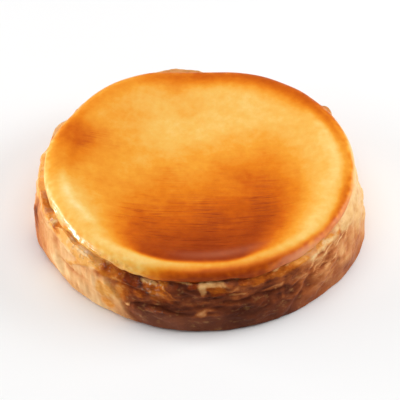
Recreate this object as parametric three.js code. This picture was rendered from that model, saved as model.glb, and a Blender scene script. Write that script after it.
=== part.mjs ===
// A whole burnt Basque cheesecake, turned out of its paper lining: one solid with a smooth, dished top
// skin, a rounded rim, a torn skin edge, and a side crust creased and split by the folds of the paper.
// Millimetres, +Z up, origin at the middle of the flat underside. The front of the cake faces -Y, and
// angles round it run from the front towards +X.
import * as THREE from "three";

// Driving dimensions
const BELLY_RADIUS = 115; // the side's widest plain radius
const BELLY_HEIGHT = 9; // how high up the side that is
const BASE_RADIUS = 114.9; // foot of the side, before its edge is rounded
const BASE_ROUND = 2.5; // rounding between the underside and the side
const BASE_TUCK = 0.7; // how far that draws the foot in, as a share of the rounding
const CREST_RADIUS = 96; // top of the rim
const CREST_HEIGHT = 48; // underside to the top of the rim
const SKIN_EDGE_RADIUS = 107.5; // lower edge of the smooth top skin
const SKIN_EDGE_HEIGHT = 40.6;
const SHOULDER_FULLNESS = 2.5; // power of the shoulder's curve from crest to skin edge: 2 is a plain ellipse
const CRUST_TOP_RADIUS = 109.3; // the crust's own upper edge, a small ledge below the skin edge
const DISH_DEPTH = 11; // crest to the bottom of the sunken middle
const DISH_FLATNESS = 4; // power of the dish's curve: more is a flatter middle and a steeper slope to the rim
const DISH_FRONT_SHARE = 0.3; // how much deeper the slope is at the front, and shallower at the back

// Unevenness of the large forms
const CREST_SWAY = 0.7; // rise and fall of the rim
const RIM_SWAY = 0.7; // in and out of the rim
const RIM_SHIFT = 0.4; // the rim sits this far towards -X
const CRUST_SHIFT = 1.9; // and the crust's upper edge this far
const BASE_SHIFT = 1.6; // and the foot of the side this far towards +X
const RIM_DENTS = [ // flat spots in the rim
  { angle: -179, width: 20, drop: 2, inward: 5.9 },
  { angle: -121, width: 13, drop: 0.5, inward: 2.5 },
];
const EDGE_TILT = { angle: -48, drop: 2 }; // the skin edge hangs lower on this side than on the other
const EDGE_DIP = { angle: -18, drop: 1.6 }; // and dips here and straight across
const EDGE_LIFT = { angle: 0, width: 10, rise: 3.4 }; // and is drawn up in one short place
const EDGE_TEAR = 1.1; // ragged tearing of the skin edge
const GROOVE_DEPTH = 2.4; // undercut below the skin edge, where it has torn loose
const TORN_ANGLE = -65; // the skin edge is torn loose most on this side, and runs into the crust on the other
const GROOVE_DROP = 1.3; // skin edge to the bottom of the undercut
const CRUST_TOP_DROP = 4; // skin edge to the crust's upper edge
const CRUST_TOP_TEAR = 1.3; // ragged tearing of that edge
const LUMP_RELIEF = 0.3; // height of each of the three waves of soft lumps all over the side
const CRUST_BULGES = [ // broad places where the side stands out or in
  { angle: -74, width: 10, out: 2.2 },
  { angle: -108, width: 15, out: -2.4 },
  { angle: 98, width: 12, out: -3 },
  { angle: 65, width: 17, out: 2 },
  { angle: -55, width: 8, out: -0.9 },
  { angle: -29, width: 6, out: -0.8 },
];

// The side's folds, splits and flakes: the ones that show most at the front, and the rest follow by rule
const FRONT_FOLD = { angle: -24, lean: 0.85, proud: 1.6, reach: 17, height: 18, tall: 26 };
const LEFT_FOLD = { angle: -61, lean: -1.7, proud: 1.2, reach: 9, height: 27, tall: 11 };
const FOLD_COUNT = 21; // by rule, with the one at the front
const FRONT_SPLIT = { angle: -16, span: 13, height: 19.8, arch: 9, depth: 1.7 };
const SPLIT_COUNT = 11;
const FRONT_FLAKE = { angle: 5, height: 34.5, width: 16, tall: 4.5, proud: 1.5 };
const FLAKE_COUNT = 24;
const FOLD_WIDTH = 3.6; // how softly a fold steps from its proud side to its pinched side
const FOLD_PINCH = { depth: 0.45, reach: 0.35 }; // its pinched side, as shares of the proud side
const UPPER_LIP_REACH = 3; // how far up a split draws the crust in
const LOWER_LIP = { proud: 0.7, reach: 5 }; // and how much of its depth stands out below, and how far down
const CRUST_TABS = [ // tabs of crust that stand up beside the skin
  { angle: -172, width: 13, rise: 6.4, out: 2.4 },
  { angle: -113, width: 5, rise: 4.6, out: 2 },
  { angle: -75, width: 13, rise: 2.6, out: -1.2 },
  { angle: -56, width: 5, rise: 3.2, out: 0.5 },
  { angle: -45, width: 7, rise: 3.2, out: 0.4 },
  { angle: 124, width: 4.5, rise: 5.5, out: 3.4 },
  { angle: 135.5, width: 2.4, rise: 4, out: 1.6 },
];

// Facets
const COLUMNS = 180; // round the side; the dish and the underside halve it twice
const SHOULDER_STEPS = 5;
const SIDE_STEPS = 16;

const TURN = 2 * Math.PI;
const radians = (degrees) => (degrees * Math.PI) / 180;
const mix = (low, high, share) => low + (high - low) * share;

// A repeatable number from 0 to 1 for each seed
function draw(seed) {
  const scattered = Math.sin(seed * 12.9898 + 4.1414) * 43758.5453;
  return scattered - Math.floor(scattered);
}

// Smooth waves round the cake, from -1 to 1, with phases drawn from the seed
function sway(angle, seed, harmonics) {
  let sum = 0;
  for (const [i, harmonic] of harmonics.entries()) {
    sum += Math.sin(harmonic * angle + TURN * draw(seed + i));
  }
  return sum / harmonics.length;
}

// The shorter way round from one angle to another, in radians
function angleBetween(from, to) {
  return Math.atan2(Math.sin(to - from), Math.cos(to - from));
}

function bump(distance, width) {
  return Math.exp(-((distance / width) ** 2));
}

function smoothStep(from, to, value) {
  const share = Math.min(1, Math.max(0, (value - from) / (to - from)));
  return share * share * (3 - 2 * share);
}

// Rim and skin edge

// Sums one size of a list of places round the cake, each fading over its own width in degrees
function sumAround(places, size, angle) {
  let sum = 0;
  for (const place of places) {
    sum += place[size] * bump(angleBetween(radians(place.angle), angle), radians(place.width));
  }
  return sum;
}

function rimShift(angle) {
  const sideways = -RIM_SHIFT * Math.sin(angle);
  return RIM_SWAY * sway(angle, 20, [2, 3, 5]) + sideways - sumAround(RIM_DENTS, "inward", angle);
}

function crestRadius(angle) {
  return CREST_RADIUS + rimShift(angle);
}

function crestHeight(angle) {
  return CREST_HEIGHT + CREST_SWAY * sway(angle, 10, [2, 3, 4]) - sumAround(RIM_DENTS, "drop", angle);
}

function skinEdgeRadius(angle) {
  return SKIN_EDGE_RADIUS + rimShift(angle);
}

function skinEdgeHeight(angle) {
  const tilt = EDGE_TILT.drop * Math.cos(angle - radians(EDGE_TILT.angle));
  const dip = EDGE_DIP.drop * Math.cos(2 * (angle - radians(EDGE_DIP.angle)));
  const lift = EDGE_LIFT.rise * bump(angleBetween(radians(EDGE_LIFT.angle), angle), radians(EDGE_LIFT.width));
  return SKIN_EDGE_HEIGHT - tilt - dip + lift + EDGE_TEAR * sway(angle, 30, [7, 11, 17, 23]);
}

// From 0 where the skin runs on into the crust to 1 where its edge hangs free
function tornLoose(angle) {
  const side = 0.5 + 0.5 * Math.cos(angle - radians(TORN_ANGLE));
  return Math.min(1, Math.max(0, 0.05 + 0.9 * side ** 1.6 + 0.3 * sway(angle, 50, [4, 7, 10])));
}

// How far the crust's upper edge lies below the skin edge, its tabs left out
function crustTopDrop(angle) {
  return CRUST_TOP_DROP + CRUST_TOP_TEAR * sway(angle, 40, [5, 9, 14, 19]);
}

function crustTopHeight(angle) {
  return skinEdgeHeight(angle) - crustTopDrop(angle) + sumAround(CRUST_TABS, "rise", angle);
}

// Side relief, in millimetres out from the plain side

const folds = [FRONT_FOLD, LEFT_FOLD];
for (let i = 1; i < FOLD_COUNT; i++) {
  const angle = FRONT_FOLD.angle + ((i + 0.7 * (draw(100 + i) - 0.5)) * 360) / FOLD_COUNT;
  folds.push({
    angle,
    lean: -Math.sign(Math.sin(radians(angle))) * mix(0.4, 1.1, draw(130 + i)),
    proud: mix(0.9, 2.6, draw(160 + i)) * mix(1, 0.3, bump(angleBetween(0, radians(angle)), radians(30))),
    reach: mix(7, 16, draw(190 + i)),
    height: mix(6, 32, draw(550 + i)),
    tall: mix(14, 30, draw(580 + i)),
  });
}

const splits = [FRONT_SPLIT];
for (let i = 1; i < SPLIT_COUNT; i++) {
  splits.push({
    angle: FRONT_SPLIT.angle + ((i + 0.6 * (draw(220 + i) - 0.5)) * 360) / SPLIT_COUNT,
    span: mix(7, 15, draw(250 + i)),
    height: mix(8, 29, draw(280 + i)),
    arch: mix(-6, 6, draw(310 + i)),
    depth: mix(0.7, 1.6, draw(340 + i)),
  });
}

const flakes = [FRONT_FLAKE];
for (let i = 1; i < FLAKE_COUNT; i++) {
  const angle = FRONT_FLAKE.angle + ((i + 0.8 * (draw(370 + i) - 0.5)) * 360) / FLAKE_COUNT;
  flakes.push({
    angle,
    height: skinEdgeHeight(radians(angle)) - mix(4, 20, draw(400 + i) ** 2),
    width: mix(5, 11, draw(430 + i)),
    tall: mix(2.4, 4.5, draw(460 + i)),
    proud: mix(0.6, 1.5, draw(490 + i)),
  });
}

// Crust stands proud on one side of the slanting fold line, and is pinched in just past it
function foldRelief(fold, angle, height) {
  const along = angleBetween(radians(fold.angle), angle) * BELLY_RADIUS;
  const across = along + fold.lean * (height - BELLY_HEIGHT);
  const proud = fold.proud * Math.exp(Math.min(0, across) / fold.reach);
  const past = Math.max(0, across) / (FOLD_PINCH.reach * fold.reach);
  const pinched = -FOLD_PINCH.depth * fold.proud * Math.exp(-past);
  const fade = bump(height - fold.height, fold.tall);
  return fade * mix(proud, pinched, smoothStep(-FOLD_WIDTH, FOLD_WIDTH, across));
}

// A split runs round the side in a shallow arch: its upper lip is drawn in, its lower lip stands out
function splitRelief(split, angle, height) {
  const along = angleBetween(radians(split.angle), angle) / radians(split.span);
  if (Math.abs(along) >= 1) return 0;
  const above = height - (split.height - split.arch * along * along);
  const ends = (1 - along * along) ** 2;
  const upper = -Math.exp(-above / UPPER_LIP_REACH);
  const lower = LOWER_LIP.proud * Math.exp(above / LOWER_LIP.reach);
  return ends * split.depth * (above > 0 ? upper : lower);
}

function flakeRelief(flake, angle, height) {
  const along = angleBetween(radians(flake.angle), angle) * BELLY_RADIUS;
  return flake.proud * bump(along, flake.width) * bump(height - flake.height, flake.tall);
}

function lumpRelief(angle, height) {
  const broad = Math.sin(9 * angle + 0.16 * height + TURN * draw(520));
  const slanting = Math.sin(17 * angle - 0.21 * height + TURN * draw(521));
  const fine = Math.sin(31 * angle + 0.33 * height + TURN * draw(522));
  return LUMP_RELIEF * (broad + slanting + fine);
}

function sideRelief(angle, height) {
  let relief = lumpRelief(angle, height);
  for (const fold of folds) relief += foldRelief(fold, angle, height);
  for (const split of splits) relief += splitRelief(split, angle, height);
  for (const flake of flakes) relief += flakeRelief(flake, angle, height);
  return relief;
}

// The plain side bellies out between the crust's upper edge and the underside
function plainSideRadius(angle, height) {
  const bulge = sumAround(CRUST_BULGES, "out", angle);
  const belly = BELLY_RADIUS + bulge;
  const foot = BASE_RADIUS + BASE_SHIFT * Math.sin(angle) + bulge;
  const sideways = -(CRUST_SHIFT - RIM_SHIFT) * Math.sin(angle);
  const proud = 0.6 * bulge + sumAround(CRUST_TABS, "out", angle);
  const top = CRUST_TOP_RADIUS + rimShift(angle) + sideways + proud;
  const rise = (height - BELLY_HEIGHT) / (SKIN_EDGE_HEIGHT - BELLY_HEIGHT);
  const fall = (BELLY_HEIGHT - height) / BELLY_HEIGHT;
  return height > BELLY_HEIGHT ? mix(belly, top, rise ** 1.5) : mix(belly, foot, fall ** 3);
}

// The creased side, its relief calmer near its upper edge and its foot
function sideRadius(angle, height) {
  const below = skinEdgeHeight(angle) - height;
  const settle = mix(0.4, 1, smoothStep(0, 2 * CRUST_TOP_DROP, below));
  const foot = mix(0.5, 1, smoothStep(0, 3 * BASE_ROUND, height));
  return plainSideRadius(angle, height) + settle * foot * sideRelief(angle, height);
}

// From the skin edge to the crust's upper edge: the undercut, then the ledge out to the crust
function ledgePoint(angle, share) {
  const drop = share * crustTopDrop(angle);
  const torn = tornLoose(angle);
  const undercut = GROOVE_DEPTH * torn * smoothStep(0, GROOVE_DROP, drop);
  const crust = sideRadius(angle, crustTopHeight(angle));
  return {
    radius: mix(skinEdgeRadius(angle) - undercut, crust, smoothStep(0.35 * torn, 1, share)),
    height: skinEdgeHeight(angle) - drop + sumAround(CRUST_TABS, "rise", angle) * smoothStep(0.5, 1, share),
  };
}

// Rings of points, from the middle of the top to the middle of the underside

function ring(columns, place) {
  const points = [];
  for (let i = 0; i < columns; i++) {
    const angle = (TURN * i) / columns;
    const { radius, height } = place(angle);
    points.push(new THREE.Vector3(radius * Math.sin(angle), -radius * Math.cos(angle), height));
  }
  return points;
}

// How far the dish has sunk at this share of the way from its middle to the crest
function dishSink(share, angle) {
  const slope = 1 + DISH_FRONT_SHARE * share * Math.cos(angle);
  return DISH_DEPTH * slope * (1 - share ** DISH_FLATNESS) ** 2;
}

function dishRings() {
  const rings = [[new THREE.Vector3(0, 0, CREST_HEIGHT - DISH_DEPTH)]];
  const steps = [
    [COLUMNS / 4, [0.18, 0.36]],
    [COLUMNS / 2, [0.5, 0.62, 0.72]],
    [COLUMNS, [0.8, 0.87, 0.93, 1]],
  ];
  for (const [columns, shares] of steps) {
    for (const share of shares) {
      rings.push(ring(columns, (angle) => ({
        radius: share * crestRadius(angle),
        height: mix(CREST_HEIGHT, crestHeight(angle), share * share) - dishSink(share, angle),
      })));
    }
  }
  return rings;
}

// The rounded shoulder, from the crest over to the skin edge
function shoulderRings() {
  const rings = [];
  for (let step = 1; step <= SHOULDER_STEPS; step++) {
    const bend = (step / SHOULDER_STEPS) * (TURN / 4);
    const out = Math.sin(bend) ** (2 / SHOULDER_FULLNESS);
    const up = Math.max(0, Math.cos(bend)) ** (2 / SHOULDER_FULLNESS);
    rings.push(ring(COLUMNS, (angle) => ({
      radius: mix(crestRadius(angle), skinEdgeRadius(angle), out),
      height: mix(skinEdgeHeight(angle), crestHeight(angle), up),
    })));
  }
  return rings;
}

// The undercut, the ledge, the creased side and its rounded foot
function sideRings() {
  const rings = [];
  for (const share of [0.3, 0.65, 1]) rings.push(ring(COLUMNS, (angle) => ledgePoint(angle, share)));
  for (let step = 1; step <= SIDE_STEPS; step++) {
    rings.push(ring(COLUMNS, (angle) => {
      const height = mix(crustTopHeight(angle), BASE_ROUND, step / SIDE_STEPS);
      return { radius: sideRadius(angle, height), height };
    }));
  }
  for (const share of [0.3, 0]) {
    const tuck = BASE_TUCK * BASE_ROUND * (1 - Math.sqrt(1 - (1 - share) ** 2));
    rings.push(ring(COLUMNS, (angle) => {
      const height = share * BASE_ROUND;
      return { radius: sideRadius(angle, height) - tuck, height };
    }));
  }
  return rings;
}

function undersideRings() {
  return [
    ring(COLUMNS / 2, () => ({ radius: 0.8 * BASE_RADIUS, height: 0 })),
    ring(COLUMNS / 4, () => ({ radius: 0.45 * BASE_RADIUS, height: 0 })),
    [new THREE.Vector3(0, 0, 0)],
  ];
}

// Joins two neighbouring rings, where the counts are equal, one is double the other, or one is a single point
function stitch(inner, outer, triangles) {
  const steps = Math.min(inner.length, outer.length) === 1
    ? Math.max(inner.length, outer.length)
    : Math.min(inner.length, outer.length);
  const at = (points, index) => points[index % points.length];
  for (let i = 0; i < steps; i++) {
    if (inner.length === 1) {
      triangles.push([inner[0], at(outer, i), at(outer, i + 1)]);
    } else if (outer.length === 1) {
      triangles.push([at(inner, i), outer[0], at(inner, i + 1)]);
    } else if (inner.length === outer.length) {
      const [a, b, c, d] = [at(inner, i), at(outer, i), at(outer, i + 1), at(inner, i + 1)];
      if (a.distanceTo(c) <= b.distanceTo(d)) triangles.push([a, b, c], [a, c, d]);
      else triangles.push([a, b, d], [b, c, d]);
    } else if (inner.length < outer.length) {
      triangles.push([at(inner, i), at(outer, 2 * i), at(outer, 2 * i + 1)]);
      triangles.push([at(inner, i), at(outer, 2 * i + 1), at(inner, i + 1)]);
      triangles.push([at(inner, i + 1), at(outer, 2 * i + 1), at(outer, 2 * i + 2)]);
    } else {
      triangles.push([at(inner, 2 * i), at(outer, i), at(inner, 2 * i + 1)]);
      triangles.push([at(inner, 2 * i + 1), at(outer, i), at(outer, i + 1)]);
      triangles.push([at(inner, 2 * i + 1), at(outer, i + 1), at(inner, 2 * i + 2)]);
    }
  }
}

function cakeGeometry() {
  const rings = [...dishRings(), ...shoulderRings(), ...sideRings(), ...undersideRings()];
  const triangles = [];
  for (let i = 0; i + 1 < rings.length; i++) stitch(rings[i], rings[i + 1], triangles);
  const geometry = new THREE.BufferGeometry().setFromPoints(triangles.flat());
  geometry.computeVertexNormals();
  return geometry;
}

const bakedSkin = new THREE.MeshStandardMaterial({ color: 0xd98a3a, roughness: 0.5, metalness: 0 });
const cake = new THREE.Mesh(cakeGeometry(), bakedSkin);
cake.name = "cheesecake";

const part = new THREE.Group();
part.add(cake);

export default part;
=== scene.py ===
"""A whole burnt Basque cheesecake: dished caramel skin, torn skin edge, crust creased by baking paper.

Sizes are in millimetres in the forms below and become metres when the mesh is made. The front of the
cake faces -Y, and angles round it run from the front towards +X.
"""

import math
from collections import namedtuple
from dataclasses import dataclass

import bpy
import numpy as np
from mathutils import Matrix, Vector, noise


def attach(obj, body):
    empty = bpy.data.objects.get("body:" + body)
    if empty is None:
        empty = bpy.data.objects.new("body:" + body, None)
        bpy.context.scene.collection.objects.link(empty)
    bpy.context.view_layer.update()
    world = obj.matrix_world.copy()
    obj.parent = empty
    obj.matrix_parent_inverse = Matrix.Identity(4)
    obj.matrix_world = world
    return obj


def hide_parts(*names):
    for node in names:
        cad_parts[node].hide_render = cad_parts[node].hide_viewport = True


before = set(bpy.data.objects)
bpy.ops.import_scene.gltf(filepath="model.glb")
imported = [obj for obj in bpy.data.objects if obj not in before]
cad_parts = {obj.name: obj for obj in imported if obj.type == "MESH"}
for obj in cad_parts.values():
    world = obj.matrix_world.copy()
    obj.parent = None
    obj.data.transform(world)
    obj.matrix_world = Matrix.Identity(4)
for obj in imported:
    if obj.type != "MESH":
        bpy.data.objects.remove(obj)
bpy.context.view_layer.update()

MM = 0.001
TURN = 2 * math.pi

# Large forms, as in the solid
BELLY_RADIUS = 115.0
BELLY_HEIGHT = 9.0
BASE_RADIUS = 114.9
BASE_ROUND = 2.5
BASE_TUCK = 0.7
CREST_RADIUS = 96.0
CREST_HEIGHT = 48.0
SKIN_EDGE_RADIUS = 107.5
SKIN_EDGE_HEIGHT = 40.6
SHOULDER_FULLNESS = 2.5
CRUST_TOP_RADIUS = 109.3
DISH_DEPTH = 11.0
DISH_FLATNESS = 4
DISH_FRONT_SHARE = 0.3
CREST_SWAY = 0.7
RIM_SWAY = 0.7
RIM_SHIFT = 0.4
CRUST_SHIFT = 1.9
BASE_SHIFT = 1.6
EDGE_TILT = 2.0
EDGE_TILT_ANGLE = -48
EDGE_DIP = 1.6
EDGE_DIP_ANGLE = -18
EDGE_TEAR = 1.1
GROOVE_DEPTH = 2.4
TORN_ANGLE = -65
GROOVE_DROP = 1.3
CRUST_TOP_DROP = 4.0
CRUST_TOP_TEAR = 1.3
LUMP_RELIEF = 0.3
LUMP_WAVES = ((9, 0.16), (17, -0.21), (31, 0.33))
FOLD_COUNT = 21
SPLIT_COUNT = 11
FLAKE_COUNT = 24
PINCH_DEPTH = 0.45
PINCH_REACH = 0.35
UPPER_LIP_REACH = 3
LOWER_LIP_PROUD = 0.7
LOWER_LIP_REACH = 5

# Finer than the solid
SHARP_FOLD = 2.6
SOFT_FOLD = 4.4
RAGGED_EDGE = 2.2
WEAVE = 0.55
PLEAT = 0.34
CURL = 0.7
WRINKLE = 0.13
SWELL = 0.25
SWELL_WIDTH = 22.0
MELT = 1.7
BRIDGE_RISE = 3.4
GAP_RISE = 0.6
GAP_WIDTH = 0.7
# Strength, and width in millimetres, of each layer of noise that tears edges and patches
LIP_TEAR = ((1.0, 9.0), (0.4, 4.0))
CRUST_TEAR = ((1.6, 9.0), (1.0, 3.4))
PATCH_PULL = ((3.5, 8.0), (1.6, 3.2))
PATCH_LIFT = ((1.5, 6.5), (0.8, 2.6))

# Rings of the mesh; the coarser ones with their columns and their share of the radius
COLUMNS = 720
DISH_MIDDLE = ((45, 0.025), (90, 0.05), (180, 0.09), (180, 0.13))
DISH_COLUMNS = 360
DISH_RINGS = 58
CREST_RINGS = 6
SHOULDER_RINGS = 22
LEDGE_RINGS = 11
SIDE_RINGS = 54
FOOT_SHARES = (0.8, 0.6, 0.4, 0.25, 0.12, 0.04, 0.0)
UNDER_RINGS = ((360, 0.95), (360, 0.88), (180, 0.76), (180, 0.62), (90, 0.45), (45, 0.22))


def draw(seed):
    """A repeatable number from 0 to 1 for each seed."""
    scattered = math.sin(seed * 12.9898 + 4.1414) * 43758.5453
    return scattered - math.floor(scattered)


def mix(low, high, share):
    return low + (high - low) * share


def sway(angle, seed, harmonics):
    """Smooth waves round the cake, from -1 to 1."""
    waves = [np.sin(h * angle + TURN * draw(seed + i)) for i, h in enumerate(harmonics)]
    return sum(waves) / len(harmonics)


def angle_between(start, end):
    return np.arctan2(np.sin(end - start), np.cos(end - start))


def along_side(degrees, angle):
    """Millimetres round the side from a place given in degrees."""
    return angle_between(math.radians(degrees), angle) * BELLY_RADIUS


def flat_place(angle, radius):
    return radius * np.sin(angle), -radius * np.cos(angle)


def bump(distance, width):
    return np.exp(-((distance / width) ** 2))


def smooth_step(start, end, value):
    share = np.clip((value - start) / (end - start), 0, 1)
    return share * share * (3 - 2 * share)


def around(angle, stops, column=1):
    """A value that changes round the cake from stop to stop; each stop starts with its degrees."""
    degrees = np.degrees(angle_between(0, angle))
    return np.interp(degrees, [stop[0] for stop in stops], [stop[column] for stop in stops], period=360)


def grain(x, y, z, cell, seed=0):
    """Smooth noise from about -1 to 1 at points in millimetres, with features about one cell wide."""
    points = np.stack([x / cell + 31.7 * seed, y / cell - 12.3 * seed, z / cell + 5.1 * seed], axis=-1)
    values = [noise.noise(point) for point in points.reshape(-1, 3).tolist()]
    return np.array(values).reshape(np.shape(x))


def side_grain(angle, height, cell, seed=0, squat=1.0):
    """Noise on the side, with features squat times wider than tall."""
    x, y = flat_place(angle, BELLY_RADIUS)
    return grain(x / squat, y / squat, height + 0 * angle, cell, seed)


def layered_grain(angle, height, layers, seed):
    """Coarse noise on the side with finer noise on it, from neighbouring seeds."""
    return sum(size * side_grain(angle, height, cell, seed + i) for i, (size, cell) in enumerate(layers))


# Rim and skin edge

# Places round the cake: degrees, width in degrees, how far each stands out, and how far it rises
OUT, RISE = 2, 3
RIM_DENTS = ((-179, 20, -5.9, -2), (-121, 13, -2.5, -0.5))
EDGE_LIFT = ((0, 10, 0, 3.4),)
# Where the lip of the skin has torn back a little further than elsewhere
TORN_BACK = (
    (-67, 2, 0, 2), (-54, 2.2, 0, 2.4), (-45, 5, 0, 4.5), (-36, 8, 0, 2.8), (-27, 6, 0, 1.2),
    (-18, 9, 0, 1.6),
)
# Where shreds of crust reach up to the torn lip
CRUST_SHREDS = ((-66, 2.5, 0, 1.2), (-57, 5, 0, 2.8), (-45, 6, 0, 3.4))
# Broad places where the side stands out or in
CRUST_BULGES = (
    (-74, 10, 2.2, 0), (-108, 15, -2.4, 0), (98, 12, -3, 0), (65, 17, 2, 0), (-55, 8, -0.9, 0),
    (-29, 6, -0.8, 0),
)
# Tabs of crust that stand up beside the skin
CRUST_TABS = (
    (-172, 13, 2.4, 6.4), (-113, 5, 2, 4.6), (-75, 13, -1.2, 2.6), (-56, 5, 0.5, 3.2),
    (-45, 7, 0.4, 3.2), (124, 4.5, 3.4, 5.5), (135.5, 2.4, 1.6, 4),
)


def sum_around(places, size, angle):
    """How far all the places together stand out, or rise, round the cake."""
    total = 0
    for place in places:
        away = angle_between(math.radians(place[0]), angle)
        total += place[size] * bump(away, math.radians(place[1]))
    return total


def rim_shift(angle):
    uneven = RIM_SWAY * sway(angle, 20, (2, 3, 5))
    return uneven - RIM_SHIFT * np.sin(angle) + sum_around(RIM_DENTS, OUT, angle)


def crest_radius(angle):
    return CREST_RADIUS + rim_shift(angle)


def crest_height(angle):
    return CREST_HEIGHT + CREST_SWAY * sway(angle, 10, (2, 3, 4)) + sum_around(RIM_DENTS, RISE, angle)


def skin_edge_radius(angle):
    return SKIN_EDGE_RADIUS + rim_shift(angle)


def torn_loose(angle):
    """From 0 where the skin runs on into the crust to 1 where its edge hangs free."""
    side = 0.5 + 0.5 * np.cos(angle - math.radians(TORN_ANGLE))
    return np.clip(0.05 + 0.9 * side ** 1.6 + 0.3 * sway(angle, 50, (4, 7, 10)), 0, 1)


def plain_edge_height(angle):
    tilt = EDGE_TILT * np.cos(angle - math.radians(EDGE_TILT_ANGLE))
    dip = EDGE_DIP * np.cos(2 * (angle - math.radians(EDGE_DIP_ANGLE)))
    lift = sum_around(EDGE_LIFT, RISE, angle)
    return SKIN_EDGE_HEIGHT - tilt - dip + lift + EDGE_TEAR * sway(angle, 30, (7, 11, 17, 23))


def edge_height_at(degrees):
    return float(plain_edge_height(math.radians(degrees)))


def edge_tear(angle):
    """The fine ragged line of the skin edge, in millimetres up or down."""
    ragged = layered_grain(angle, np.zeros_like(angle), LIP_TEAR, seed=3)
    return RAGGED_EDGE * (0.3 + torn_loose(angle)) * ragged + sum_around(TORN_BACK, RISE, angle)


def crust_tear(angle):
    """The ragged line of the crust's upper edge, which goes its own way."""
    ragged = layered_grain(angle, np.zeros_like(angle), CRUST_TEAR, seed=27)
    return ragged + sum_around(CRUST_SHREDS, RISE, angle)


def crust_top_drop(angle):
    return CRUST_TOP_DROP + CRUST_TOP_TEAR * sway(angle, 40, (5, 9, 14, 19))


# Folds, splits and flakes of the side

Fold = namedtuple("Fold", "angle lean proud reach height tall soft")
Split = namedtuple("Split", "angle span height arch depth")
Flake = namedtuple("Flake", "angle height width tall proud")


def make_folds():
    folds = [Fold(-24, 0.85, 1.6, 17, 18, 26, SHARP_FOLD)]
    for i in range(1, FOLD_COUNT):
        angle = folds[0].angle + (i + 0.7 * (draw(100 + i) - 0.5)) * 360 / FOLD_COUNT
        turned = math.radians(angle)
        quiet = mix(1, 0.3, float(bump(angle_between(0, turned), math.radians(30))))
        folds.append(Fold(
            angle=angle,
            lean=-math.copysign(mix(0.4, 1.1, draw(130 + i)), math.sin(turned)),
            proud=mix(0.9, 2.6, draw(160 + i)) * quiet,
            reach=mix(7, 16, draw(190 + i)),
            height=mix(6, 32, draw(550 + i)),
            tall=mix(14, 30, draw(580 + i)),
            soft=mix(0.6, 1.2, draw(590 + i)) * SOFT_FOLD,
        ))
    folds.append(Fold(-61, -1.7, 1.2, 9, 27, 11, SHARP_FOLD))
    return folds


def make_splits():
    splits = [Split(-16, 13, 19.8, 9, 1.7)]
    for i in range(1, SPLIT_COUNT):
        splits.append(Split(
            angle=splits[0].angle + (i + 0.6 * (draw(220 + i) - 0.5)) * 360 / SPLIT_COUNT,
            span=mix(7, 15, draw(250 + i)),
            height=mix(8, 29, draw(280 + i)),
            arch=mix(-6, 6, draw(310 + i)),
            depth=mix(0.7, 1.6, draw(340 + i)),
        ))
    return splits


def make_flakes():
    flakes = [Flake(5, 34.5, 16, 4.5, 1.5)]
    for i in range(1, FLAKE_COUNT):
        angle = flakes[0].angle + (i + 0.8 * (draw(370 + i) - 0.5)) * 360 / FLAKE_COUNT
        flakes.append(Flake(
            angle=angle,
            height=edge_height_at(angle) - mix(4, 20, draw(400 + i) ** 2),
            width=mix(5, 11, draw(430 + i)),
            tall=mix(2.4, 4.5, draw(460 + i)),
            proud=mix(0.6, 1.5, draw(490 + i)),
        ))
    return flakes


FOLDS = make_folds()
SPLITS = make_splits()
FLAKES = make_flakes()


def fold_fields(angle, height):
    """Relief of the folds, how pinched in each place is, and how proud."""
    relief = pinch = stand = 0
    for fold in FOLDS:
        along = along_side(fold.angle, angle)
        across = along + fold.lean * (height - BELLY_HEIGHT)
        fade = bump(height - fold.height, fold.tall) * fold.proud
        past = smooth_step(-fold.soft, fold.soft, across)
        proud = np.exp(np.minimum(0, across) / fold.reach)
        pinched = np.exp(-np.maximum(0, across) / (PINCH_REACH * fold.reach))
        relief += fade * mix(proud, -PINCH_DEPTH * pinched, past)
        pinch += fade * past * pinched
        stand += fade * (1 - past) * proud
    return relief, pinch, stand


def split_fields(angle, height):
    """Relief of the splits, and the gap along each one, which the side's colour darkens as painted shade.
    """
    relief = gap = 0
    for split in SPLITS:
        along = angle_between(math.radians(split.angle), angle) / math.radians(split.span)
        ends = np.where(np.abs(along) < 1, (1 - np.minimum(1, along * along)) ** 2, 0) * split.depth
        above = height - (split.height - split.arch * along * along)
        over = smooth_step(-0.5, 0.5, above)
        upper = -np.exp(-np.maximum(0, above) / UPPER_LIP_REACH)
        lower = LOWER_LIP_PROUD * np.exp(np.minimum(0, above) / LOWER_LIP_REACH)
        relief += ends * mix(lower, upper, over)
        gap += ends * bump(above - GAP_RISE, GAP_WIDTH)
    return relief, gap


def flake_relief(angle, height):
    """Thin plates of crust with ragged outlines, each lifted most along its lower edge."""
    relief = 0
    ragged = 0.55 * side_grain(angle, height, 5.0, seed=9, squat=1.6)
    ragged += 0.4 * side_grain(angle, height, 2.2, seed=10)
    for flake in FLAKES:
        along = along_side(flake.angle, angle) / flake.width
        up = (height - flake.height) / flake.tall
        inside = smooth_step(0.0, 0.28, 1 - along * along - up * up + ragged)
        near = bump(along, 1.2) * bump(up, 1.2)
        relief += flake.proud * near * mix(0.35, 1.0 - 0.3 * np.clip(up, -1, 1), inside)
    return relief


# Degrees, and how ragged the crust is: almost smooth on the left, like bark from the front to the right
RAGGED_CRUST = (
    (-180, 0.7), (-110, 0.5), (-85, 0.3), (-40, 0.25), (-26, 0.5), (-18, 0.9), (34, 1), (50, 0.8),
    (66, 0.55), (90, 0.4), (140, 0.6),
)


def foot_calm(height):
    """Less ragged towards the foot, where the crust lay flat against the tin."""
    return mix(0.35, 1.0, smooth_step(6, 17, height))


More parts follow.
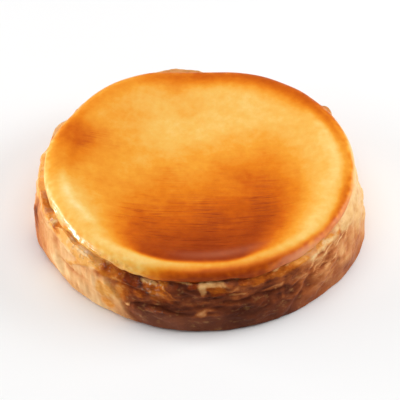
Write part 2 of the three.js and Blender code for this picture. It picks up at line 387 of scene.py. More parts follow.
def crust_weave(angle, height, below):
    """Ragged layers of crust, wider than tall: about -1 in the cracks and 1 on the ridges."""
    turned = angle + 4.0 / BELLY_RADIUS * side_grain(angle, height, 15.0, seed=31)
    lifted = height + 2.5 * side_grain(angle, height, 11.0, seed=32)
    cracks = 3.4 * np.abs(side_grain(turned, lifted, 9.0, seed=33, squat=2.6)) - 0.7
    ridges = 0.8 - 3.4 * np.abs(side_grain(turned, lifted, 4.2, seed=34, squat=2.0))
    thin = 2.4 * side_grain(turned, lifted, 2.3, seed=35, squat=4.0)
    ragged = foot_calm(height) * around(angle, RAGGED_CRUST)
    ragged += 0.5 * torn_loose(angle) * bump(below - 6.0, 4.5)
    return ragged * np.clip(0.5 * cracks + 0.5 * ridges + 0.25 * thin, -1.2, 1.2)


def crust_pleats(angle, height):
    """Narrow upright pleats pressed in by the paper, strongest where the crust isn't ragged."""
    turned = angle - 0.35 * np.sin(angle) * (height - BELLY_HEIGHT) / BELLY_RADIUS
    wide = 2.0 * side_grain(turned, height, 22.0, seed=51, squat=0.3)
    narrow = 1.6 * side_grain(turned, height, 11.0, seed=52, squat=0.26)
    return (1 - 0.75 * around(angle, RAGGED_CRUST)) * np.clip(wide + narrow, -1.2, 1.2)


def lump_relief(angle, height):
    lumps = 0
    for i, (turns, slant) in enumerate(LUMP_WAVES):
        lumps += np.sin(turns * angle + slant * height + TURN * draw(520 + i))
    return LUMP_RELIEF * lumps


def plain_side_radius(angle, height):
    bulge = sum_around(CRUST_BULGES, OUT, angle)
    belly = BELLY_RADIUS + bulge
    foot = BASE_RADIUS + BASE_SHIFT * np.sin(angle) + bulge
    sideways = -(CRUST_SHIFT - RIM_SHIFT) * np.sin(angle)
    proud = 0.6 * bulge + sum_around(CRUST_TABS, OUT, angle)
    top = CRUST_TOP_RADIUS + rim_shift(angle) + sideways + proud
    rise = np.clip((height - BELLY_HEIGHT) / (SKIN_EDGE_HEIGHT - BELLY_HEIGHT), 0, None)
    fall = np.clip((BELLY_HEIGHT - height) / BELLY_HEIGHT, 0, None)
    return np.where(height > BELLY_HEIGHT, mix(belly, top, rise ** 1.5), mix(belly, foot, fall ** 3))


# How the top is browned

# Degrees, where the toasted line lies outside the crest, how dark it is, how far it fades inwards, and
# how much of it carries on downwards
RIM_TOAST = (
    (-160, 3, 0.36, 11, 1), (-140, 4, 0.22, 10, 0.8), (-105, 5, 0.12, 5, 0.2), (-85, 5, 0.05, 4, 0),
    (-45, 11.2, 0.06, 4, 1), (-28, 11.4, 0.1, 3, 1), (-19, 11.2, 0.18, 3.4, 1), (-11, 10.4, 0.56, 4, 1),
    (0, 10.2, 0.62, 4, 1), (20, 10.4, 0.6, 4, 1), (30, 10.2, 0.5, 3.6, 0.9), (41, 8.8, 0.48, 2.8, 0.6),
    (51, 10.6, 0.48, 3, 0.9), (61, 9, 0.5, 3.6, 0.9), (75, 8, 0.44, 4.6, 0.6), (90, 7.4, 0.23, 5, 0.4),
    (100, 6.2, 0.28, 6, 0.6), (110, 5, 0.42, 7, 0.8), (130, 4, 0.52, 10, 1), (150, 4, 0.54, 11, 1),
    (178, 3.6, 0.5, 10.5, 1),
)
TOAST_WIDTH = 3.6
# Degrees, and how far the bottom of the shoulder turns rosy: partly the skin's own tint, partly painted
# sheen
ROSY_SHEEN_SHOULDER = (
    (-180, 0.2), (-150, 0), (24, 0), (31, 0.4), (39, 0.75), (46, 0.5), (52, 0.25), (60, 0.5), (76, 0.1),
    (120, 0.2), (140, 0.4),
)
# Degrees, and how far the slope inside the front of the crest turns rosy, as a painted reflection
ROSY_REFLECTION_SLOPE = ((-16, 0), (-6, 0.1), (8, 0.18), (22, 0.12), (34, 0))
# Degrees, and how wet with butter the bottom of the shoulder is
MOIST_EDGE = (
    (-180, 0), (-82, 0.1), (-74, 0.5), (-69, 0.9), (-65, 0.9), (-62, 0.5), (-59, 0.95), (-51, 0.95),
    (-46, 0.5), (-30, 0.4), (-15, 0),
)
# Degrees, and how far the bottom of the shoulder turns pale as cream
CREAM_SHOULDER = (
    (-180, 0.5), (-160, 0.3), (-140, 0), (66, 0), (80, 0.3), (90, 0.8), (105, 0.9), (125, 0.2),
)
# Degrees, and how much browner the crest is at the front
FRONT_CREST = ((-36, 0), (-22, -0.04), (-8, 0.04), (8, 0.12), (30, 0.1), (42, 0), (66, 0))
# Degrees, and how much paler the slope inside the crest is: partly paler custard, partly painted sheen
PALE_SHEEN_SLOPE = (
    (-105, 0), (-88, 0.1), (-62, 0.14), (-44, 0.1), (-26, 0), (44, 0), (53, 0.08), (66, -0.02),
    (76, 0.02), (92, 0.1), (114, 0.16), (132, 0),
)
# The burnt middle of the dish: where it lies, how far it reaches each way, and how it darkens forwards
BURN_MIDDLE = (-1, -31)
BURN_LEFT, BURN_RIGHT = 68, 63
BURN_FRONT, BURN_BACK = 73, 66
BURN_LEVEL = 0.05
BURN_SLOPE = 0.0062
BURN_START = 60
BURN_SLANT = 0.25
PALE_LEVEL = 0.13
# Middle, half sizes and strength of browner spots: outside the burnt middle, and anywhere
RIM_SPOTS = (((-66, 28), (36, 38), 0.2), ((-66, -18), (20, 28), 0.16))
DISH_SPOTS = (
    ((-86, 25), (14, 20), 0.36), ((-92, 0), (8, 15), 0.2), ((-17, 82), (9, 9), 0.14),
    ((52, 16), (28, 34), 0.19), ((66, -22), (14, 22), 0.1), ((-25, 64), (48, 16), 0.08),
)


def spot(x, y, middle, size):
    return bump(np.hypot((x - middle[0]) / size[0], (y - middle[1]) / size[1]), 1.0)


def spots(x, y, table):
    return sum(strength * spot(x, y, middle, size) for middle, size, strength in table)


def dish_bake(x, y, angle, out, drift):
    """Burnt at the front of the dish, fading towards the back and in a soft edge towards each side."""
    depth = np.clip(BURN_LEVEL + BURN_SLOPE * (BURN_START - y + BURN_SLANT * x) + 0.06 * drift, 0, 1)
    depth -= 0.06 * spot(x, y, (-10, -38), (40, 25))
    across = np.where(x < BURN_MIDDLE[0], BURN_LEFT, BURN_RIGHT)
    along = np.where(y < BURN_MIDDLE[1], BURN_FRONT, BURN_BACK)
    reach = np.hypot((x - BURN_MIDDLE[0]) / across, (y - BURN_MIDDLE[1]) / along) + 0.03 * drift
    reach += 0.14 * smooth_step(-10, -55, x) * smooth_step(-78, -45, y)
    soft = 0.07 + 0.25 * smooth_step(-96, -66, y) + 0.1 * smooth_step(-50, -10, y)
    inside = (1 - smooth_step(1 - soft, 1 + soft, reach)) * (1 - smooth_step(-1.5, 3.8, out + drift))
    pale = PALE_LEVEL + spots(x, y, RIM_SPOTS) + around(angle, FRONT_CREST) * smooth_step(-70, -92, y)
    return mix(pale + 0.05 * drift, depth, inside) + spots(x, y, DISH_SPOTS)


def top_bake(x, y, z, angle, out):
    """How browned the skin is, from 0 for pale custard to 1 for burnt; out is measured from the crest."""
    drift = grain(x, y, 0 * x, 24.0, seed=1) + 0.5 * grain(x, y, 0 * x, 9.0, seed=6)
    fine = grain(x, y, 1.4 * z, 4.0, seed=19)
    gap = out - around(angle, RIM_TOAST, 1) - drift - 0.8 * fine
    inner = bump(gap, around(angle, RIM_TOAST, 3))
    outer = np.maximum(bump(gap, TOAST_WIDTH), around(angle, RIM_TOAST, 4))
    toast = around(angle, RIM_TOAST, 2) * np.where(gap < 0, inner, outer)
    # Paler band inside the crest: partly paler custard, partly painted sheen
    pale_and_sheen = around(angle, PALE_SHEEN_SLOPE) * bump(out + 2.5 + 2.0 * drift, 3.6)
    speckle = 0.16 * fine * smooth_step(4.0, 10.0, out)
    return np.clip(dish_bake(x, y, angle, out, drift) + toast + speckle - pale_and_sheen, 0, 1)


def top_wrinkles(x, y):
    """Fine wrinkles that run across the middle and front of the dish."""
    bent = y + 3.0 * grain(x, y, 0 * x, 40.0, seed=7)
    lines = 1 - 2 * np.abs(grain(x / 8, bent, 0 * x, 4.2, seed=8))
    return lines * spot(x, y, (14, -38), (62, 46))


# How the side is browned

# Degrees along the slant of the folds, and how dark the crust is there
SIDE_BAKE = (
    (-180, 0.5), (-140, 0.44), (-105, 0.34), (-88, 0.22), (-82, 0.32), (-76, 0.61), (-70, 0.52),
    (-64, 0.4), (-56, 0.21), (-48, 0.18), (-42, 0.12), (-36, 0.18), (-30, 0.25), (-27, 0.3), (-25, 0.38),
    (-23, 0.62), (-19, 0.8), (-10, 0.85), (0, 0.88), (12, 0.95), (24, 0.97), (30, 0.9), (36, 0.69),
    (44, 0.56), (52, 0.46), (60, 0.47), (70, 0.46), (76, 0.34), (82, 0.22), (100, 0.24), (125, 0.42),
    (150, 0.54),
)
SLANT = 1.5
# Degrees, and how far the crust's upper edge has caught
DARK_RIDGE = ((-100, 0), (-86, 0), (-76, 0.2), (-62, 0.4), (-55, 0), (90, 0), (120, 0.15), (180, 0.15))
# Degrees, and how far the foot of the crust is dull and rosy, where it steamed in the tin
ROSY_FOOT = ((-30, 0), (-22, 0.45), (-8, 0.5), (4, 0.25), (16, 0.1), (40, 0.15), (60, 0.2), (80, 0))
# Degrees, and the height above which the right side is pale as cream
CREAM_LINE = (
    (-180, 60), (50, 52), (57, 42), (62, 35), (68, 27), (75, 18), (82, 11), (98, 10), (110, 22),
    (124, 34), (140, 52),
)
# Degrees, and how much cream, amber and extra browning shows in the torn strip below the skin edge; where
# the browning is negative the strip is paler, which on the left is painted light against the shade under
# the overhanging lip
EDGE_STRIP = (
    (-180, 0.55, 0.25, 0), (-150, 0.3, 0.45, 0.1), (-115, 0.25, 0.85, 0), (-90, 0.05, 0.95, -0.3),
    (-76, 0.05, 0.9, -0.45), (-66, 0.05, 0.9, -0.2), (-58, 0.1, 1, -0.3), (-50, 0.2, 1, -0.35),
    (-42, 0.2, 0.95, -0.4), (-36, 0.1, 1, -0.25), (-30, 0.1, 0.8, -0.1), (-26, -0.2, 0.4, 0.15),
    (-15, -0.2, 0.6, 0), (-8, -0.2, 0.3, 0), (4, -0.2, 0.4, 0), (14, -0.2, 0.4, 0.05),
    (26, 0.05, 0.9, -0.25), (34, 0, 0.95, -0.25), (48, 0.2, 0.8, -0.3), (60, 0.55, 0.4, -0.2),
    (80, 0.95, 0, -0.2), (105, 0.8, 0.1, -0.1), (135, 0.45, 0.35, 0),
)
Patch = namedtuple("Patch", "layer angle height width tall strength rise", defaults=[0])
# Torn, sticky or differently browned places, and a few painted highlights, by layer: degrees, height, half
# width, half height, strength and, where it slants, rise along its length
PATCH_ROWS = {
    "bake": (
        (-24, 36.4, 9, 2.6, 0.25), (-28, 22, 4, 8, -0.2), (-23, 34.6, 7, 2.6, 0.36),
        (-15.5, 32.5, 6.5, 2.8, -0.2), (-13, 36, 6, 2, -0.22), (-20.5, 27.5, 5, 3, -0.1),
        (-13.5, 35.5, 9, 0.9, -0.3, -0.64), (-12.5, 27, 8, 5, -0.12), (6, 35.6, 5, 1.8, -0.14),
        (5.5, 31.4, 6, 1.6, 0.1), (11.5, 34.5, 4, 2.6, -0.24), (-1, 25, 8, 1.8, -0.16, 0.1),
        (0.4, 17.2, 4.2, 1.8, -0.34, 0.6), (2, 20.5, 6, 2, -0.14, 0.3), (14, 31, 6, 3, -0.16, 0.1),
        (26, 28.4, 8, 1.6, -0.5, 0.1), (20.5, 34.5, 5, 2.8, -0.2), (28, 33, 7, 4, -0.16),
        (36, 28, 8, 4, -0.1), (44, 33, 9, 5, -0.12), (52, 29.5, 7, 2.6, 0.18),
        (57.5, 23.5, 6, 3.6, -0.18), (28.5, 23, 1.6, 4.5, -0.16), (-60.5, 36.3, 5, 2.8, 0.38),
        (-48.5, 25, 10, 2.6, 0.08, 0.5), (-35.5, 34, 5, 3.6, 0.36, 0.2), (-61, 31, 6, 4, 0.14),
    ),
    "amber": (
        (-33, 35.5, 13, 4, 0.8), (-26.5, 26, 7, 9, 0.75), (-15.5, 32.5, 6.5, 2.8, 0.9),
        (-13, 36, 6, 2, 0.8), (-20.5, 27.5, 5, 3, 0.7), (-12.5, 28, 9, 6, 0.6),
        # The amber streak at -13 degrees, just under the front split, carries a painted highlight along
        # the split's lower lip
        (6.2, 34.6, 7, 3.2, 0.9, -0.1), (-13, 17.2, 5, 0.9, 0.9), (27, 37, 24, 1.6, 0.7, 0.05),
        (-55, 38, 5, 3.4, 0.9), (-48.5, 25, 10, 2.8, 0.75, 0.5), (-34, 22, 8, 7, 0.8),
        (-44, 33, 7, 3, 0.7, 0.2), (-32, 9, 7, 4, 0.6), (-31, 15, 7, 7, 0.35),
    ),
    "cream": (
        (-18.5, 35.4, 5.5, 0.9, 0.8), (-5, 38.7, 8, 0.5, 0.65, 0.02), (0.9, 36.2, 2.4, 3, 0.5, 0.4),
        (2.6, 38.6, 5, 1.5, 0.42, -0.05), (5.4, 38.8, 8, 1.4, 0.45, -0.12),
        # The pale patch at -24 degrees is a painted highlight on the tip of the split's lower lip
        (12.2, 31.2, 6, 0.8, 0.4, -0.1), (-24, 16, 2.4, 0.6, 0.7, 0.2), (0.4, 17.2, 3.2, 1.2, 0.1, 0.6),
        # The small pale patch at -66 degrees is a painted highlight on the glossy ridge at the crust's
        # upper edge
        (45, 36.6, 11, 1.6, 0.35, 0.1), (-47, 38.4, 8, 1.6, 0.2), (-66, 35.2, 4.5, 0.9, 0.55, 0.3),
        (-56, 12, 14, 6, 0.3),
    ),
    "wet": (
        (-17, 32.5, 9, 3.4, 0.9), (-13, 17.2, 6, 1.2, 0.9), (-65, 36.5, 9, 2.6, 1, 0.2),
        (-47, 37.5, 12, 3, 1),
    ),
}
STROKE_COUNT = 12
STROKE_START = 39
STROKE_STEP = 2.1
BACK_COUNT = 14
BACK_START = 108
BACK_STEP = 10.6


def make_light_strokes():
    """Short pale strokes on the crust on the right."""
    return [Patch(
        layer="bake",
        angle=STROKE_START + STROKE_STEP * (i + 0.8 * draw(800 + i)),
        height=mix(23, 35, draw(820 + i)),
        width=mix(2.5, 6, draw(840 + i)),
        tall=mix(0.5, 1.0, draw(860 + i)),
        rise=mix(0.1, 0.7, draw(880 + i)),
        strength=-mix(0.2, 0.4, draw(900 + i)),
    ) for i in range(STROKE_COUNT)]


def make_back_patches():
    """The far side, torn and browned by rule in the same way as the sides."""
    patches = []
    for i in range(BACK_COUNT):
        angle = BACK_START + (i + 0.7 * (draw(610 + i) - 0.5)) * BACK_STEP
        layer = ("cream", "bake", "amber")[i % 3]
        patches.append(Patch(
            layer=layer,
            angle=angle,
            height=edge_height_at(angle) - mix(2.5, 16, draw(640 + i) ** 1.5),
            width=mix(6, 15, draw(670 + i)),
            tall=mix(1.2, 3.6, draw(700 + i)),
            rise=mix(-0.35, 0.35, draw(730 + i)),
            strength=mix(0.6, 0.95, draw(760 + i)) * (0.4 if layer == "bake" else 1),
        ))
    return patches


PATCHES = [Patch(layer, *row) for layer, rows in PATCH_ROWS.items() for row in rows]
PATCHES += make_light_strokes() + make_back_patches()


def patch_layers(angle, height):
    """Sums of all patches by layer, with torn outlines."""
    layers = dict.fromkeys(PATCH_ROWS, 0)
    pull = layered_grain(angle, height, PATCH_PULL, seed=15)
    lift = layered_grain(angle, height, PATCH_LIFT, seed=17)
    for patch in PATCHES:
        along = along_side(patch.angle, angle) + pull
        up = height - patch.height - patch.rise * along + lift * min(1, patch.tall / 2.5)
        reach = np.hypot(along / patch.width, up / patch.tall)
        layers[patch.layer] += patch.strength * (1 - smooth_step(0.5, 1.45, reach))
    return layers


def edge_strip(angle, height, below):
    """Cream, amber and extra browning in the torn strip just below the skin edge; negative browning on the
    left is painted light against the shade under the lip.
    """
    near = 1 - smooth_step(3.0, 7.0, below + 2.2 * side_grain(angle, height, 6.0, seed=24, squat=2.0))
    shreds = 1.1 * side_grain(angle, height, 2.8, seed=25, squat=2.0)
    pools = side_grain(angle, height, 3.6, seed=26, squat=2.0)
    cream = near * smooth_step(0.3, 0.8, around(angle, EDGE_STRIP, 1) + shreds)
    amber = near * smooth_step(0.3, 0.8, around(angle, EDGE_STRIP, 2) + pools)
    return cream, amber, near * around(angle, EDGE_STRIP, 3)


def side_tones(angle, height, below, relief):
    """How browned and wet the side is, and where cream custard or amber skin shows."""
    signed = angle_between(0, angle)
    leaning = SLANT * smooth_step(0.1, -0.35, signed) * smooth_step(-1.45, -0.9, signed)
    slant = leaning * np.sin(signed) * (height - BELLY_HEIGHT) / BELLY_RADIUS
    slow = side_grain(angle, height, 26.0, seed=21)
    blotch = side_grain(angle, height, 9.0, seed=22, squat=1.6)
    strip_cream, strip_amber, strip_bake_and_painted_light = edge_strip(angle, height, below)
    pale = height - around(angle, CREAM_LINE) + 5.0 * blotch + 2.0 * relief["weave"]
    tab = np.clip(sum_around(CRUST_TABS, RISE, angle) / 4, 0, 1) * (1 - smooth_step(0.0, 7.0, below))
    tab *= smooth_step(1.6, 1.8, np.abs(signed))
    ridge = around(angle, DARK_RIDGE) * bump(height - crust_top_height(angle) + 0.4, 1.3)
    right = smooth_step(0.3, 0.6, signed) * (1 - smooth_step(1.4, 1.7, signed))
    bake = around(signed - slant, SIDE_BAKE) + 0.08 * slow + 0.14 * blotch
    # Painted light: the strip's negative browning lifts the shade under the lip on the left
    bake += relief["bake"] + strip_bake_and_painted_light + ridge - 0.35 * tab - 0.6 * np.clip(relief["cream"], 0, 1)
    # Painted shade: darker in the gaps of the splits and in the cracks of the weave and pleats, paler on
    # their ridges. Below, darker on the pinched side of each fold and paler where it stands proud.
    bake += 0.22 * relief["gap"] - 0.15 * relief["weave"] - 0.05 * relief["pleats"]
    bake += 0.07 * np.clip(relief["pinch"], 0, 2) - 0.06 * np.clip(relief["stand"], 0, 2)
    bake += 0.08 * right * smooth_step(15, 7, height)
    tones = {
        "bake": bake,
        "cream": relief["cream"] + strip_cream + 0.9 * smooth_step(-7.0, 7.0, pale) + tab,
        "amber": relief["amber"] + strip_amber - tab - ridge,
        "ragged": foot_calm(height) * around(angle, RAGGED_CRUST),
        "rosy_and_sheen": around(angle, ROSY_FOOT) * (1 - smooth_step(11, 17, height + 2.0 * blotch)),
        "wet": relief["wet"] + 0.25 * torn_loose(angle) * bump(below - 2.0, 2.6),
    }
    return {name: np.clip(value, 0, 1) for name, value in tones.items()}


# The mesh is a list of rings, from the middle of the top to the middle of the underside


@dataclass
class Ring:
    zone: str
    angle: np.ndarray
    radius: np.ndarray
    height: np.ndarray
    tones: dict

    def tone(self, name):
        return np.broadcast_to(self.tones.get(name, 0.0), self.angle.shape)


def columns_at(count):
    return np.arange(count) * TURN / count


def soft_swell(x, y):
    return SWELL * grain(x, y, 0 * x, SWELL_WIDTH, seed=2)


def dish_ring(count, share):
    angle = columns_at(count)
    slope = 1 + DISH_FRONT_SHARE * share * np.cos(angle)
    sink = DISH_DEPTH * slope * (1 - share ** DISH_FLATNESS) ** 2
    radius = share * crest_radius(angle)
    x, y = flat_place(angle, radius)
    wrinkles = top_wrinkles(x, y)
    height = mix(CREST_HEIGHT, crest_height(angle), share * share) - sink
    height += soft_swell(x, y) + WRINKLE * wrinkles
    out = radius - crest_radius(angle)
    bake = top_bake(x, y, height, angle, out) + 0.05 * wrinkles
    # Painted rosy reflection on the slope inside the front of the crest
    rosy_and_sheen = around(angle, ROSY_REFLECTION_SLOPE) * bump(out + 6.0, 4.0)
    creased = smooth_step(-5.0, -14.0, out)
    return Ring("top", angle, radius, height, {"bake": bake, "rosy_and_sheen": rosy_and_sheen, "creased": creased})


def dish_rings():
    rings = [dish_ring(count, share) for count, share in DISH_MIDDLE]
    rings += [dish_ring(DISH_COLUMNS, share) for share in np.linspace(0.17, 0.93, DISH_RINGS)]
    rings += [dish_ring(COLUMNS, share) for share in np.linspace(0.94, 1.0, CREST_RINGS)]
    return rings


def shoulder_rings():
    angle = columns_at(COLUMNS)
    edge_height = plain_edge_height(angle)
    tear = edge_tear(angle)
    moist = around(angle, MOIST_EDGE)
    rings = []
    for step in range(1, SHOULDER_RINGS + 1):
        share = step / SHOULDER_RINGS
        bend = share * TURN / 4
        outward = math.sin(bend) ** (2 / SHOULDER_FULLNESS)
        up = max(0.0, math.cos(bend)) ** (2 / SHOULDER_FULLNESS)
        level = mix(edge_height, crest_height(angle), up)
        melted = side_grain(angle, level, 8.0, seed=41, squat=1.6)
        melted += 0.4 * side_grain(angle, level, 3.5, seed=42)
        lumpy = moist * smooth_step(0.5, 0.75, share) * (1 - smooth_step(0.9, 1.0, share))
        radius = mix(crest_radius(angle), skin_edge_radius(angle), outward) + MELT * lumpy * melted
        x, y = flat_place(angle, radius)
        out = radius - crest_radius(angle)
        height = level + (1 - share) * soft_swell(x, y) + tear * smooth_step(0.72, 1, share)
        low = smooth_step(8.8, 11.2, out + 0.9 * grain(x, y, height, 8.0, seed=5))
        rings.append(Ring("top", angle, radius, height, {
            "bake": top_bake(x, y, height, angle, out),
            # Rosy bottom of the shoulder: partly the skin's own tint, partly painted sheen
            "rosy_and_sheen": around(angle, ROSY_SHEEN_SHOULDER) * low,
            "cream": around(angle, CREAM_SHOULDER) * low,
            "wet": moist * smooth_step(0.5, 0.7, share),
        }))
    return rings


def crust_surface(angle, height, edge_height):
    """Radius of the creased side with all its relief, and the fields that its browning follows."""
    below = edge_height - height
    fold, pinch, stand = fold_fields(angle, height)
    split, gap = split_fields(angle, height)
    fields = {"pinch": pinch, "stand": stand, "gap": gap, **patch_layers(angle, height)}
    fields["weave"] = crust_weave(angle, height, below)
    fields["pleats"] = crust_pleats(angle, height)
    settle = mix(0.4, 1, smooth_step(0, 2 * CRUST_TOP_DROP, below))
    foot = mix(0.5, 1, smooth_step(0, 3 * BASE_ROUND, height))
    relief = lump_relief(angle, height) + fold + split + flake_relief(angle, height)
    relief += WEAVE * fields["weave"] + PLEAT * fields["pleats"] + CURL * np.clip(fields["cream"], 0, 1)
    return plain_side_radius(angle, height) + settle * foot * relief, fields


def crust_top_height(angle):
    tab = sum_around(CRUST_TABS, RISE, angle)
    return plain_edge_height(angle) - crust_top_drop(angle) + tab + crust_tear(angle)


def ledge_ring(share):
    """From the skin edge to the crust's upper edge: the undercut, then the ledge out to the crust."""
    angle = columns_at(COLUMNS)
    edge_height = plain_edge_height(angle)
    torn = torn_loose(angle)
    drop = crust_top_drop(angle)
    top = crust_top_height(angle)
    crust = crust_surface(angle, top, edge_height)[0]
    bridged = np.clip(sum_around(CRUST_SHREDS, RISE, angle) / BRIDGE_RISE, 0, 1)
    undercut = GROOVE_DEPTH * torn * (1 - 0.8 * bridged) * smooth_step(0, GROOVE_DROP, share * drop)
    outward = smooth_step(0.35 * torn * (1 - bridged), 1, share)
    radius = mix(skin_edge_radius(angle) - undercut, crust, outward)
    height = edge_height - share * drop + edge_tear(angle) * (1 - share) ** 3
    height += (top - edge_height + drop) * smooth_step(0.5, 1, share)
    height += BRIDGE_RISE * bridged * bump(share - 0.5, 0.28)
    fields = crust_surface(angle, height, edge_height)[1]
    return Ring("side", angle, radius, height, side_tones(angle, height, edge_height - height, fields))


def side_ring(height):
    angle = columns_at(COLUMNS)
    edge_height = plain_edge_height(angle)
    radius, fields = crust_surface(angle, height, edge_height)
    return Ring("side", angle, radius, height, side_tones(angle, height, edge_height - height, fields))


def side_rings():
    crust_top = crust_top_height(columns_at(COLUMNS))
    rings = [ledge_ring(step / LEDGE_RINGS) for step in range(1, LEDGE_RINGS + 1)]
    for step in range(1, SIDE_RINGS + 1):
        rings.append(side_ring(mix(crust_top, BASE_ROUND, step / SIDE_RINGS)))
    for share in FOOT_SHARES:
        ring = side_ring(np.full(COLUMNS, share * BASE_ROUND))
        ring.radius -= BASE_TUCK * BASE_ROUND * (1 - math.sqrt(1 - (1 - share) ** 2))
        rings.append(ring)
    return rings


def underside_rings():
    rings = []
    for count, share in UNDER_RINGS:
        angle = columns_at(count)
        level = np.zeros(count)
        radius = np.full(count, share * BASE_RADIUS)
        patchy = grain(radius * np.sin(angle), radius * np.cos(angle), level, 30.0, seed=23)
        bake = np.clip(0.42 + 0.25 * patchy + 0.2 * smooth_step(0.8, 1.0, share), 0, 1)
        rings.append(Ring("under", angle, radius, level, {"bake": bake}))
    return rings


def pole(zone, height, bake):
    one = np.zeros(1)
    return Ring(zone, one, one, one + height, {"bake": one + bake})


def stitch(inner, outer, a, b):
    """Faces between rings with first points a and b: of equal counts, one twice the other, or a point."""
    inside, outside = len(inner.angle), len(outer.angle)
    if inside > outside:
        return [face[::-1] for face in stitch(outer, inner, b, a)]
    if inside == 1:
        return [(a, b + i, b + (i + 1) % outside) for i in range(outside)]
    if inside == outside:
        return [(a + i, b + i, b + (i + 1) % outside, a + (i + 1) % inside) for i in range(inside)]
    faces = []
    for i in range(inside):
        half_way = b + 2 * i + 1
        next_in, next_out = a + (i + 1) % inside, b + (2 * i + 2) % outside
        faces += [(a + i, b + 2 * i, half_way), (a + i, half_way, next_in), (next_in, half_way, next_out)]
    return faces


ZONES = ("top", "side", "under")
TONES = ("bake", "cream", "amber", "rosy_and_sheen", "wet", "ragged", "creased")
# The flat layout of the skin: the top and underside as discs, the side as two half strips, in millimetres
SHEET = 366.0
TOP_DISC = (122.0, 122.0)
UNDER_DISC = (305.0, 62.0)
UNDER_SCALE = 0.5
STRIP_FLOOR = (252.0, 309.0)
STRIP_MARGIN = 2


def lay_flat(mesh, rings, starts, faces, zones):
    """A map of the skin laid flat, so that finishes can be kept as pictures."""
    angle = np.concatenate([ring.angle for ring in rings])
    radius = np.concatenate([ring.radius for ring in rings])
    height = np.concatenate([ring.height for ring in rings])
    travel = np.zeros(len(angle))
    distance = 0.0
    for i, ring in enumerate(rings):
        if i and ring.zone == "top":
            before = rings[i - 1]
            wider = ring.radius.mean() - before.radius.mean()
            distance += np.hypot(wider, ring.height.mean() - before.height.mean())
        travel[starts[i]:starts[i + 1]] = distance
    counts = [len(face) for face in faces]
    points = np.concatenate(faces)
    zone = np.repeat(zones, counts)[:, None]
    first = np.repeat(angle[[face[0] for face in faces]], counts)
    turned = np.where(angle[points] < first, angle[points] + TURN, angle[points])
    half = (first >= TURN / 2).astype(int)
    along = (turned - half * TURN / 2) * BELLY_RADIUS + STRIP_MARGIN
    strip = np.stack([along, np.array(STRIP_FLOOR)[half] + height[points]], axis=1)
    top = zone == ZONES.index("top")
    reach = np.where(top[:, 0], travel[points], radius[points] * UNDER_SCALE)
    disc = np.where(top, TOP_DISC, UNDER_DISC) + np.stack(flat_place(turned, reach), axis=1)
    flat = np.where(zone == ZONES.index("side"), strip, disc)
    layer = mesh.uv_layers.new(name="OFBake")
    layer.data.foreach_set("uv", (flat / SHEET).astype(np.float32).ravel())


def put_in_scene(name, data):
    made = bpy.data.objects.new(name, data)
    bpy.context.scene.collection.objects.link(made)
    return made


def build_cake(materials):
    rings = [pole("top", CREST_HEIGHT - DISH_DEPTH, 0.4), *dish_rings(), *shoulder_rings(), *side_rings()]
    rings += [*underside_rings(), pole("under", 0.0, 0.45)]
    points, faces, zones = [], [], []
    starts = np.cumsum([0] + [len(ring.angle) for ring in rings])
    for ring in rings:
        x, y = flat_place(ring.angle, ring.radius)
        points.append(np.stack([x, y, ring.height], axis=1))
    for i in range(len(rings) - 1):
        made = stitch(rings[i], rings[i + 1], int(starts[i]), int(starts[i + 1]))
        faces += made
        zones += [ZONES.index(rings[i + 1].zone)] * len(made)
    mesh = bpy.data.meshes.new("cheesecake_skin")
    mesh.from_pydata((np.concatenate(points) * MM).tolist(), [], faces)
    mesh.polygons.foreach_set("material_index", np.array(zones, np.int32))
    for name in TONES:
        layer = mesh.attributes.new(name, "FLOAT", "POINT")
        values = np.concatenate([ring.tone(name) for ring in rings])
        layer.data.foreach_set("value", values.astype(np.float32))
    for material in materials:
        mesh.materials.append(material)
    lay_flat(mesh, rings, starts, faces, zones)
    mesh.shade_smooth()
    mesh.update()
    return put_in_scene("cheesecake_skin", mesh)


# Colours and finishes


def tone(red, green, blue):
    """A colour given as it looks on screen, 0 to 255, as linear light."""
    shown = np.array((red, green, blue)) / 255
    linear = np.where(shown <= 0.04045, shown / 12.92, ((shown + 0.055) / 1.055) ** 2.4)
    return (*linear.tolist(), 1.0)


# Rosy colour on the top: partly the skin's own tint, partly painted sheen and reflection
ROSY_SHEEN_SKIN = tone(230, 156, 118)
CREAM_SKIN = tone(244, 206, 148)
STEAMED_CRUST = tone(134, 84, 64)
# How browned, and the colour on screen there
CARAMEL = (
    (0, (250, 218, 150)), (0.08, (246, 204, 118)), (0.18, (243, 186, 88)), (0.32, (241, 160, 50)),
    (0.48, (230, 130, 24)), (0.64, (208, 98, 10)), (0.81, (176, 72, 6)), (1, (146, 50, 3)),
)
TOASTED = (
    (0, (240, 196, 140)), (0.2, (226, 166, 106)), (0.4, (206, 132, 76)), (0.6, (168, 89, 42)),
    (0.8, (124, 59, 29)), (1, (85, 35, 15)),
)
SYRUP = ((0, (240, 172, 84)), (0.3, (224, 140, 48)), (0.6, (196, 102, 22)), (0.95, (128, 48, 6)))
CUSTARD = ((0, (244, 206, 148)), (0.5, (228, 178, 112)), (1, (190, 132, 72)))
UNDERSIDE = ((0, (240, 200, 140)), (0.45, (206, 140, 76)), (1, (110, 58, 28)))


def join(tree, socket, value):
    """Feeds a socket with another socket or with a plain value."""
    if isinstance(value, bpy.types.NodeSocket):
        tree.links.new(value, socket)
    else:
        socket.default_value = value


def feed(tree, node, values):
    for key, value in values.items():
        join(tree, node.inputs[key], value)


def add(tree, kind, values=None, **settings):
    node = tree.nodes.new(kind)
    for key, value in settings.items():
        setattr(node, key, value)
    feed(tree, node, values or {})
    return node


def sums(tree, operation, first, second):
    return add(tree, "ShaderNodeMath", {0: first, 1: second}, operation=operation).outputs[0]


def plus(tree, first, second):
    return sums(tree, "ADD", first, second)


def times(tree, first, second):
    return sums(tree, "MULTIPLY", first, second)


